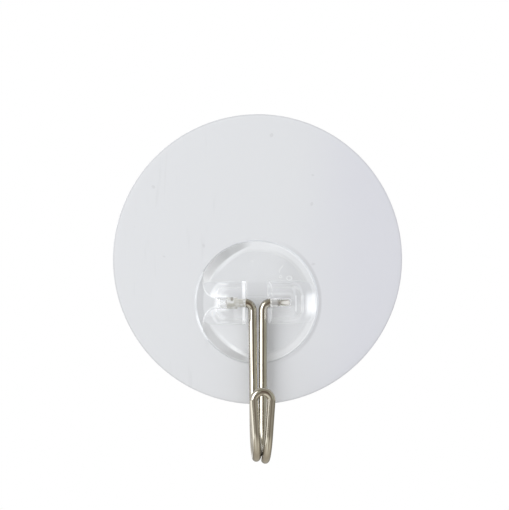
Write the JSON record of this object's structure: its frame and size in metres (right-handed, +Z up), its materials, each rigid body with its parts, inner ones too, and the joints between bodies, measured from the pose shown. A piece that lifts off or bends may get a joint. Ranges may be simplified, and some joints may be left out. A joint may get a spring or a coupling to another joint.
{
  "type": "adhesive wall hook",
  "caption": "Round clear adhesive wall hook: a film disc carries a bevelled moulded base, and a bent wire hook swings in its bosses.",
  "frame": {"origin": "centre of the film's adhesive back", "axes": "+Y out of the adhesive back, into the wall; +Z up; the hook stands out towards -Y"},
  "size_m": [0.07, 0.0212, 0.0831],
  "materials": {
    "film": "smooth translucent film",
    "glue": "clear",
    "clear_moulding": "polished clear",
    "plated_wire": "polished nickel"
  },
  "bodies": {
    "wall_plate": {"adhesive_film": "film", "glue_pad": "glue", "hook_base": "clear_moulding"},
    "hook": {"wire_hook": "plated_wire"}
  },
  "joints": [
    {"name": "hook_swing", "type": "hinge", "parent": "wall_plate", "child": "hook", "pos_m": [-0.0005, -0.0039, -0.0103], "axis": [-1, 0, 0], "range_deg": [0, 145]}
  ]
}
